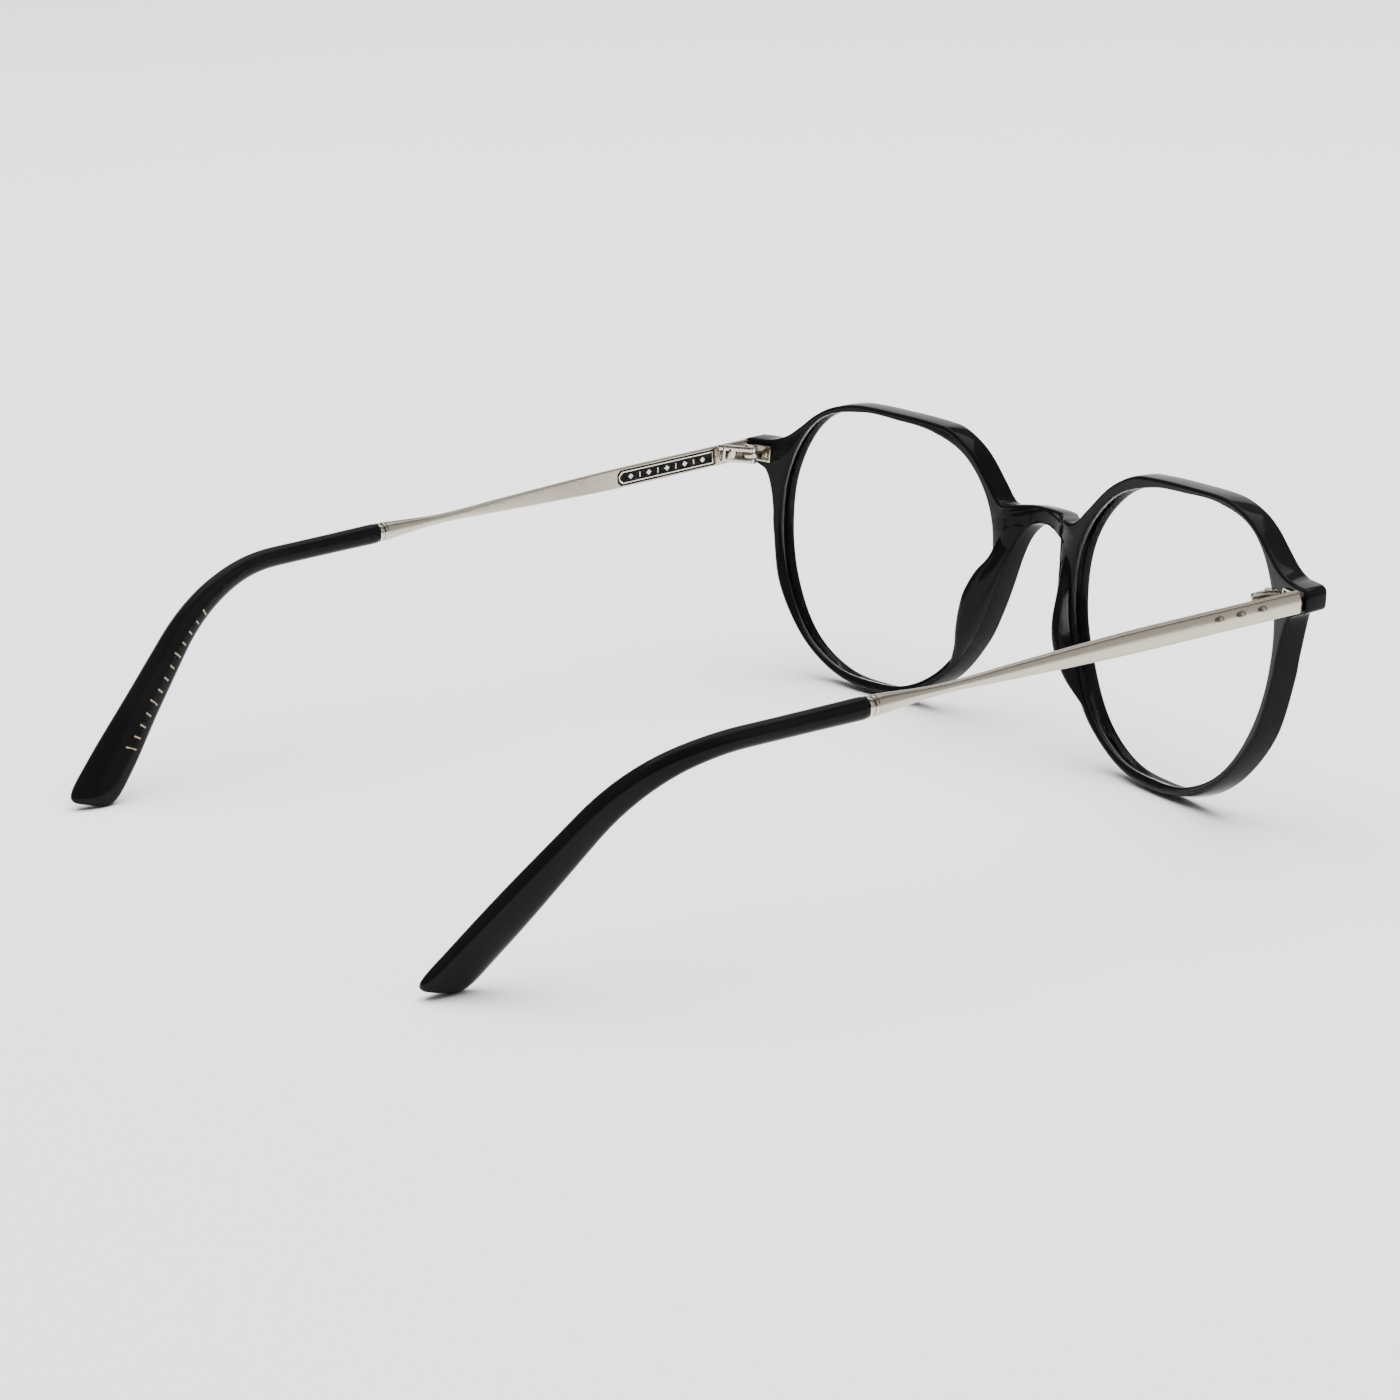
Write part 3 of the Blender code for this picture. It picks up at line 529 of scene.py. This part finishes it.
def tan_print():
    """Matt pale ink of the scale on the tips."""
    material, tree, shader = new_material("tan_print_ink")
    place = object_coordinates(tree, (1.0, 1.0, 1.0))
    speckle = noise(tree, place, 2500.0, 2.0)
    colour = ramp(tree, speckle, ((0.3, (0.24, 0.19, 0.12, 1)), (0.7, (0.34, 0.28, 0.19, 1))))
    tree.links.new(colour, shader.inputs["Base Color"])
    tree.links.new(remap(tree, speckle, 0.3, 0.7, 0.45, 0.6), shader.inputs["Roughness"])
    return material


def floor_material():
    material, tree, shader = new_material("pale_studio_floor")
    place = object_coordinates(tree, (1.0, 1.0, 1.0))
    cloud = noise(tree, place, 3.0, 2.0)
    colour = ramp(tree, cloud, ((0.3, (0.86, 0.86, 0.86, 1)), (0.7, (0.88, 0.88, 0.88, 1))))
    tree.links.new(colour, shader.inputs["Base Color"])
    shader.inputs["Roughness"].default_value = 0.9
    shader.inputs["Specular IOR Level"].default_value = 0.1
    return material


# ---------------------------------------------------------------- camera and stage
CAMERA_AIM = Vector((3.9, 55.75, -15.75))
CAMERA_AZIMUTH = math.radians(234.679)
CAMERA_ELEVATION = math.radians(11.097)
CAMERA_ROLL = math.radians(5.429)
CAMERA_DISTANCE = 557.7
CAMERA_LENS = 98.53


def make_camera():
    """Camera behind the wearer's right shoulder, placed in the front's own frame."""
    data = bpy.data.cameras.new("studio_camera")
    data.sensor_width = 36.0
    data.lens = CAMERA_LENS
    camera = bpy.data.objects.new("studio_camera", data)
    bpy.context.scene.collection.objects.link(camera)
    back = Vector((math.sin(CAMERA_AZIMUTH) * math.cos(CAMERA_ELEVATION),
                   -math.cos(CAMERA_AZIMUTH) * math.cos(CAMERA_ELEVATION),
                   math.sin(CAMERA_ELEVATION)))
    turn = (-back).to_track_quat("-Z", "Y").to_matrix() @ Matrix.Rotation(CAMERA_ROLL, 3, "Z")
    place = STANDING @ (CAMERA_AIM + back * CAMERA_DISTANCE)
    camera.matrix_world = Matrix.LocRotScale(place, STANDING.to_quaternion() @ turn.to_quaternion(), None)
    bpy.context.scene.camera = camera


def softbox(name, azimuth, elevation, distance, width, height, power):
    """Rectangular light that looks at the glasses from a direction given in degrees."""
    data = bpy.data.lights.new(name, "AREA")
    data.shape = "RECTANGLE"
    data.size = width
    data.size_y = height
    data.energy = power
    light = bpy.data.objects.new(name, data)
    bpy.context.scene.collection.objects.link(light)
    a, e = math.radians(azimuth), math.radians(elevation)
    back = Vector((math.sin(a) * math.cos(e), -math.cos(a) * math.cos(e), math.sin(e)))
    light.location = back * distance + Vector((0, 0, 0.02))
    light.rotation_mode = "QUATERNION"
    light.rotation_quaternion = (-back).to_track_quat("-Z", "Y")
    return light


def make_stage():
    bpy.ops.object.select_all(action="DESELECT")
    bpy.ops.mesh.primitive_plane_add(size=12.0, location=(0, 0, 0))
    floor = bpy.context.object
    floor.name = "floor"
    floor.data.materials.append(floor_material())
    world = bpy.data.worlds.new("studio")
    world.use_nodes = True
    world.node_tree.nodes["Background"].inputs["Color"].default_value = (1.0, 1.0, 1.0, 1.0)
    world.node_tree.nodes["Background"].inputs["Strength"].default_value = 0.14
    bpy.context.scene.world = world
    wash = softbox("floor_wash", 56, 85, 2.0, 3.0, 3.0, 170.0)
    wash.visible_glossy = False
    softbox("overhead", 56, 70, 1.4, 1.2, 1.2, 7.0)
    softbox("backdrop", 56, 16, 2.0, 3.6, 1.1, 13.0)
    softbox("side", 312, 25, 1.3, 1.2, 1.2, 2.8)


# ---------------------------------------------------------------- front
def outline_rows():
    """Half of the outer outline, from the bridge's top round to its underside, with inward directions."""
    upper = smooth_path(BRIDGE_TOP + RIM_TOP + LUG_TOP, OUTLINE_STEPS)
    end = smooth_path(LUG_END, LUG_END_STEPS)
    lower = smooth_path(LUG_BOTTOM + RIM_BOTTOM + NASAL_WALL, OUTLINE_STEPS)
    path = upper + end + lower
    rows = []
    for i, point in enumerate(path):
        before = path[max(i - 1, 0)]
        after = path[min(i + 1, len(path) - 1)]
        along = (after - before).normalized()
        rows.append((point, Vector((along.y, -along.x))))
    rows[0] = (path[0], Vector((0.0, -1.0)))
    rows[-1] = (path[-1], Vector((0.0, 1.0)))
    return rows


def front_ring(point, inward):
    """Closed section of the rim from the lens opening out to the outline and back."""
    centre = Vector((LENS_CENTRE_X, 0.0))
    offset = point - centre
    angle = math.atan2(offset.y, offset.x)
    ray = Vector((math.cos(angle), math.sin(angle)))
    radius = eye_radius(angle)
    quarter = [math.pi / 2 * k / ROUNDING_STEPS for k in range(ROUNDING_STEPS + 1)]
    inner = [(centre + ray * (radius + INNER_ROUNDING * (1 - math.cos(a))),
              INNER_ROUNDING * (1 - math.sin(a))) for a in quarter]
    outer = [(point + inward * (OUTER_ROUNDING * (1 - math.sin(a))),
              OUTER_ROUNDING * (1 - math.cos(a))) for a in quarter]
    face = [(inner[-1][0].lerp(outer[0][0], k / 4), 0.0) for k in (1, 2, 3)]
    rear = inner + face + outer
    front = [(p, FRONT_THICKNESS - depth) for p, depth in reversed(rear)]
    middle = FRONT_THICKNESS / 2
    groove = [(centre + ray * radius, middle + GROOVE_HALF_WIDTH),
              (centre + ray * (radius + GROOVE_DEPTH), middle),
              (centre + ray * radius, middle - GROOVE_HALF_WIDTH)]
    return [front_point(p.x, p.y, depth) for p, depth in rear + front + groove]


def closing_ring(share, low, high):
    """Section on the mid-plane, between the bridge's underside and its top."""
    return front_ring(Vector((0.0, low + (high - low) * share)), Vector((0.0, 0.0)))


def make_front(material):
    rows = outline_rows()
    rings = [front_ring(*row) for row in rows]
    low, high = rows[-1][0].y, rows[0][0].y
    rings += [closing_ring(k / BRIDGE_STEPS, low, high) for k in range(1, BRIDGE_STEPS)]
    rings.append(rings[0])
    half = swept(rings, capped=False)
    leave_only_outside(half)
    mirror = half.modifiers.new("other half", "MIRROR")
    mirror.merge_threshold = 0.01
    bpy.ops.object.modifier_apply(modifier=mirror.name)
    return put(half, "front_polished", Matrix.Identity(4), material, "front",
               ("front_frame",), smooth=50)


def leave_only_outside(half):
    """Open the half on the mid-plane, where the other half joins it."""
    verts = half.data.vertices
    for vert in verts:
        if abs(vert.co.x) < 0.02:
            vert.co.x = 0.0
    delete_faces(half, lambda face: all(abs(verts[i].co.x) < 0.001 for i in face.vertices))


# ---------------------------------------------------------------- lenses and nose pads
def lens_shape():
    """Lens of even thickness whose edge runs out in a V inside the groove."""
    middle = FRONT_THICKNESS / 2
    centre = Vector((LENS_CENTRE_X, 0.0))

    def ring(scale, extra, depth):
        points = []
        for k in range(LENS_SEGMENTS):
            angle = 2 * math.pi * k / LENS_SEGMENTS
            p = centre + Vector((math.cos(angle), math.sin(angle))) * (eye_radius(angle) * scale + extra)
            points.append(front_point(p.x, p.y, depth))
        return points

    rear = [ring(share, 0.0, middle - LENS_THICKNESS / 2) for share in LENS_SHARES]
    front = [ring(share, 0.0, middle + LENS_THICKNESS / 2) for share in reversed(LENS_SHARES)]
    return swept(rear + [ring(1.0, LENS_BEVEL, middle)] + front)


def nasal_x(z):
    """Where the front's nasal wall stands at a height."""
    wall = smooth_path(RIM_BOTTOM[-2:] + NASAL_WALL[:6], 6)
    for a, b in zip(wall, wall[1:]):
        if a.y <= z <= b.y:
            return a.x + (b.x - a.x) * (z - a.y) / (b.y - a.y)
    return wall[-1].x


def opening_x(z):
    """Where the lens opening's nasal side stands at a height."""
    low, high = math.pi * 0.8, math.pi * 1.3
    for _ in range(30):
        middle = (low + high) / 2
        if eye_radius(middle) * math.sin(middle) > z:
            low = middle
        else:
            high = middle
    return LENS_CENTRE_X + eye_radius(low) * math.cos(low)


def bezier(p0, p1, p2, p3, steps):
    """Points along a curve, without its last one."""
    points = []
    for k in range(steps):
        u = k / steps
        points.append(p0 * (1 - u) ** 3 + p1 * 3 * u * (1 - u) ** 2 + p2 * 3 * u * u * (1 - u) + p3 * u ** 3)
    return points


def pad_shape():
    """Fin that grows out of the nasal rim: full towards the nose, hollow behind, with a round crest."""
    rings = []
    for z, x, y, half in smooth_path(PAD_EDGE, PAD_STEPS):
        inner = nasal_x(z) + PAD_INSET
        outer = max(opening_x(z) - 0.4, inner + 0.8)
        nose_side = front_point(inner, z, PAD_SINK)
        eye_side = front_point(outer, z, PAD_SINK)
        low = max(nose_side.y, eye_side.y)
        crest = Vector((x, max(y, low + PAD_SINK + 0.02), z))
        rise = crest.y - low
        out = Vector((half, 0.0, 0.0))
        back = Vector((0.0, half, 0.0))
        nose_top = crest - out * 0.8 - back * 0.45
        eye_top = crest + out * 0.8 - back * 0.45
        ring = bezier(nose_side, nose_side + Vector((-0.15, rise * 0.5, 0.0)),
                      nose_top - out * 0.2 - back * 0.8, nose_top, PAD_SIDE_POINTS)
        ring += bezier(nose_top, nose_top + back * 0.45 + out * 0.2,
                       eye_top + back * 0.45 - out * 0.2, eye_top, PAD_CREST_POINTS)
        ring += bezier(eye_top, eye_top + out * 0.2 - back * 0.8,
                       eye_side.lerp(crest, 0.35) + Vector((0.0, -rise * 0.25, 0.0)), eye_side,
                       PAD_SIDE_POINTS)
        ring.append(eye_side)
        rings.append([Vector((p.x, p.y, z)) for p in ring])
    return swept(rings)


# ---------------------------------------------------------------- temples
def bar_shape():
    """Stamped bar: a flat inner face and a domed outer one, a narrow neck and a round ferrule."""
    half = smooth_path(HALF_D, 2)
    outline = half + [Vector((p.x, -p.y)) for p in reversed(half[1:-1])]
    rings = []
    for y, half_x, half_z, roundness in stations_along(BAR_FRONT, BAR_STATIONS, BAR_REAR, BAR_STEPS):
        ring = []
        for flat in outline:
            unit = flat.lerp(flat.normalized(), roundness)
            x = unit.x * half_x
            skew = x * BAR_END_SLOPE * smoothstep(1.0 - y / BAR_SKEW_LENGTH)
            ring.append(Vector((x, y + skew, unit.y * half_z)))
        rings.append(ring)
    return cut(swept(rings), inlay_block(0.05, BAR_INNER - 1.0, BAR_INNER + INLAY_DEPTH))


def inlay_outline(margin):
    """Panel outline as (along, up), with a cut-cornered rear end."""
    top = INLAY_HALF_HEIGHT + margin
    start, end, corner = INLAY_START - margin, INLAY_END + margin, INLAY_CHAMFER
    return ((start, -top), (end - corner, -top), (end, -top + corner),
            (end, top - corner), (end - corner, top), (start, top))


def inlay_block(margin, inner, outer):
    return swept([[(x, y, z) for y, z in inlay_outline(margin)] for x in (inner, outer)])


def inlay_border(face):
    """Thin raised line just inside the panel's edge."""
    near, far = (inlay_outline(margin) for margin in BORDER_MARGINS)
    top = face - TRIM_RISE
    rings = []
    for a, b in zip(near, far):
        rings.append([(face, *a), (top, *a), (top, *b), (face, *b)])
    return swept(rings + [rings[0]], capped=False)


def inlay_marks(face):
    """Row of plain lozenges and short bars, raised from the panel."""
    marks = []
    for k in range(LOZENGE_COUNT):
        y = INLAY_START + LOZENGE_START + LOZENGE_PITCH * k
        if k % 2:
            wide, high = DASH_SIZE
            corners = ((y - wide, -high), (y - wide, high), (y + wide, high), (y + wide, -high))
        else:
            wide, high = LOZENGE_SIZE
            corners = ((y - wide, 0.0), (y, high), (y + wide, 0.0), (y, -high))
        marks.append(swept([[(x, *c) for c in corners] for x in (face, face - TRIM_RISE)]))
    return joined(marks)


def temple_path(distance):
    """Centre of the temple and its slope, in the temple's own frame."""
    run = distance - BEND_START
    if run <= 0:
        return Vector((0.0, distance, 0.0)), 0.0
    slope = min(run / BEND_RADIUS, BEND_ANGLE)
    straight = max(run - BEND_RADIUS * BEND_ANGLE, 0.0)
    eased = run * run / (2 * DRIFT_EASE) if run < DRIFT_EASE else run - DRIFT_EASE / 2
    centre = Vector((-TIP_DRIFT * eased,
                     BEND_START + BEND_RADIUS * math.sin(slope) + straight * math.cos(slope),
                     -BEND_RADIUS * (1 - math.cos(slope)) - straight * math.sin(slope)))
    return centre, slope


def share_of(distance, span):
    return smoothstep((distance - span[0]) / (span[1] - span[0]))


def tip_point(distance, x, z):
    """Point of the tip, across and up from its centre line."""
    centre, slope = temple_path(distance)
    along = Vector((0.0, math.cos(slope), -math.sin(slope)))
    cant = TIP_CANT * share_of(distance, CANT_SPAN)
    up = Vector((0.0, math.sin(slope), math.cos(slope)))
    across = Vector((math.cos(cant), 0.0, 0.0)) - up * math.sin(cant)
    up = up * math.cos(cant) + Vector((math.sin(cant), 0.0, 0.0))
    up += along * END_SLANT * share_of(distance, SLANT_SPAN)
    return centre + across * x + up * z


def tip_section(distance, angle):
    """Unit section: round at the collar, then squarer with a soft ridge along the inner face."""
    flatness = share_of(distance, FACET_SPAN)
    power = 2 / (2 + (TIP_SQUARENESS - 2) * flatness)
    c, s = math.cos(angle), math.sin(angle)
    x = math.copysign(abs(c) ** power, c)
    z = math.copysign(abs(s) ** power, s)
    if x < 0:
        x *= 1 - TIP_RIDGE * flatness * abs(z)
    return x, z


def tip_shape():
    """Bent acetate tip, from its collar to its slanted end."""
    rings = []
    for distance, half_x, half_z in stations_along(TIP_FRONT, TIP_STATIONS, TIP_REAR, TIP_STEPS):
        ring = []
        for k in range(TIP_SIDES):
            x, z = tip_section(distance, 2 * math.pi * k / TIP_SIDES)
            ring.append(tip_point(distance, x * half_x, z * half_z))
        rings.append(ring)
    return swept(rings)


def tip_marks():
    """Plain scale of short lines on the tip's inner face, below its ridge."""
    stations = smooth_path(TIP_STATIONS, TIP_STEPS)
    marks = []
    for number in range(SCALE_COUNT):
        distance = SCALE_START + SCALE_PITCH * number
        half_x, half_z = next((p.y, p.z) for p in stations if p.x >= distance)
        low, high = SCALE_SHORT_SPAN if number % SCALE_LONG_EVERY else SCALE_LONG_SPAN
        steps = [math.radians(low + (high - low) * k / SCALE_STEPS) for k in range(SCALE_STEPS + 1)]
        corners = []
        for place, angles in ((-SCALE_HALF_WIDTH, steps), (SCALE_HALF_WIDTH, reversed(steps))):
            for angle in angles:
                x, z = tip_section(distance, angle)
                corners.append((distance + place, x * half_x, z * half_z))
        marks.append(swept([[tip_point(d, x - lift, z) for d, x, z in corners] for lift in SCALE_LIFTS]))
    return joined(marks)


# ---------------------------------------------------------------- hinges
def arc(centre, radius, start, end, steps):
    angles = [math.radians(start + (end - start) * k / steps) for k in range(steps + 1)]
    return [(centre[0] + radius * math.cos(a), centre[1] + radius * math.sin(a)) for a in angles]


def ear(low, high, rear):
    """Teardrop plate: round about the pivot and running back to a point beside the bar."""
    outline = arc(PIVOT, KNUCKLE_RADIUS, 290, 130, 18)
    outline += [(64.0, rear), (EAR_OUTER_X, rear), (EAR_OUTER_X, PIVOT.y + 0.2), (63.9, PIVOT.y - 0.7)]
    return rounded(prism(outline, low, high), 0.13)


def temple_hinge_shape():
    """Two ears on a rounded block, and an upright behind them."""
    knuckle = block((63.0, 11.2, KNUCKLE_SPAN[0] + 0.5), (64.4, 12.7, KNUCKLE_SPAN[1] - 0.4))
    upright = block((63.55, 13.0, KNUCKLE_SPAN[0]), (64.35, 13.55, KNUCKLE_SPAN[1] + 0.05))
    return joined([ear(SLOT_SPAN[1], KNUCKLE_SPAN[1], UPPER_EAR_REAR),
                   ear(KNUCKLE_SPAN[0], SLOT_SPAN[0], LOWER_EAR_REAR),
                   rounded(knuckle, 0.3), rounded(upright, 0.12)])


def hinge_base_shape():
    """Base plate on the bar's inner face, with upright ribs."""
    inner = BAR_INNER - BASE_THICKNESS
    front, rear = BASE_SPAN
    plate = block((inner, front, -BASE_HALF_HEIGHT), (BAR_INNER - 0.02, rear, BASE_HALF_HEIGHT))
    pieces = [rounded(plate, 0.08)]
    for k in range(RIB_COUNT):
        y = RIB_START + RIB_PITCH * k
        rib = block((inner - RIB_RISE, y, -RIB_HALF_HEIGHT), (inner + 0.05, y + RIB_WIDTH, RIB_HALF_HEIGHT))
        pieces.append(rounded(rib, 0.04))
    return joined(pieces)


def shield_plate():
    """Tray on the lug's rear face, with a raised rim."""
    here = front_point(PLATE_X, PLATE_Z, -0.03)
    across = (front_point(PLATE_X + 1.0, PLATE_Z, -0.03) - here).normalized()
    out = across.cross(front_point(PLATE_X, PLATE_Z - 1.0, -0.03) - here).normalized()
    w, d, h = PLATE_SIZE
    tray = block((-w / 2, 0.0, -h / 2), (w / 2, d, h / 2))
    cut(tray, block((-w / 2 + PLATE_RIM, PLATE_FLOOR, -h / 2 + PLATE_RIM),
                    (w / 2 - PLATE_RIM, d + 1.0, h / 2 - PLATE_RIM)))
    rounded(tray, 0.06)
    place = Matrix((across, out, across.cross(out))).transposed().to_4x4()
    place.translation = here
    tray.data.transform(place)
    return tray


def tongue_shape():
    """Tongue from the shield plate, narrow at its root, to the barrel between the ears."""
    root = front_point(PIVOT.x, PIVOT.z, 0.0).y + 0.15
    outline = arc(PIVOT, KNUCKLE_RADIUS, 0, 180, 18)
    outline += [(PIVOT.x - 0.3, root + 0.1), (PIVOT.x + 1.1, root + 0.35)]
    return rounded(prism(outline, SLOT_SPAN[0] + 0.05, SLOT_SPAN[1] - 0.05), 0.1)


def screw_shape():
    """Hinge screw with a domed, slotted head."""
    base = KNUCKLE_SPAN[1] + 0.03
    top = base + SCREW_HEAD_HEIGHT
    wide = SCREW_HEAD_RADIUS
    screw = turned(((SCREW_SHANK_RADIUS, KNUCKLE_SPAN[0] + 0.1), (SCREW_SHANK_RADIUS, base), (wide, base),
                    (wide, base + 0.12), (wide * 0.9, top - 0.06), (wide * 0.7, top)))
    cut(screw, block((-2.0, -SCREW_SLOT_HALF_WIDTH, top - SCREW_SLOT_DEPTH),
                     (2.0, SCREW_SLOT_HALF_WIDTH, top + 1.0)))
    screw.data.transform(Matrix.Translation((PIVOT.x, PIVOT.y, 0.0)) @ Matrix.Rotation(SCREW_TURN, 4, "Z"))
    return screw


# ---------------------------------------------------------------- build
make_camera()
make_stage()
acetate = polished_acetate()
lens_glass = clear_lens()
metal = satin_metal()
bright = bright_metal()
enamel = black_enamel()
print_ink = tan_print()

in_front = Matrix.Identity(4)
on_bar = temple_place()
make_front(acetate)
pair(lens_shape(), "lens_clear_", in_front, lens_glass, "lens_%s", on_temple=False)
pair(pad_shape(), "pad_polished_", in_front, acetate, "nose_pad_%s", on_temple=False,
     smooth=60)
pair(joined([shield_plate(), tongue_shape()]), "hinge_front_half_", in_front, bright,
     "front_hinge_%s", on_temple=False)
pair(temple_hinge_shape(), "hinge_ears_", in_front, bright, "temple_hinge_%s")
pair(hinge_base_shape(), "hinge_base_", on_bar, bright)
pair(screw_shape(), "hinge_screw_slotted_", in_front, bright, "hinge_screw_%s")
pair(bar_shape(), "bar_stamped_", on_bar, metal, "temple_bar_%s")
inlay_face = BAR_INNER + INLAY_SUNK
pair(inlay_block(0.0, inlay_face, BAR_INNER + INLAY_DEPTH - 0.05), "inlay_panel_", on_bar, enamel,
     "inlay_%s", smooth=0)
pair(inlay_border(inlay_face), "inlay_border_", on_bar, bright, smooth=0)
pair(inlay_marks(inlay_face), "inlay_marks_", on_bar, bright, smooth=0)
for number, y in enumerate(RIVET_PLACES, 1):
    head = turned(RIVET_PROFILE)
    seat = Matrix.Translation((-BAR_INNER - RIVET_SINK, y, RIVET_HEIGHT))
    head.data.transform(seat @ Matrix.Rotation(math.pi / 2, 4, "Y"))
    pair(head, "rivet_head_%d_" % number, on_bar, metal, "rivet_%s_" + str(number))
collar = turned(COLLAR_PROFILE)
collar.data.transform(Matrix.Translation((0.0, COLLAR_PLACE, 0.0)) @ Matrix.Rotation(-math.pi / 2, 4, "X"))
pair(collar, "collar_turned_", on_bar, bright, "tip_collar_%s")
pair(tip_shape(), "tip_polished_", on_bar, acetate, "temple_tip_%s", smooth=60)
pair(tip_marks(), "tip_scale_", on_bar, print_ink, smooth=0)
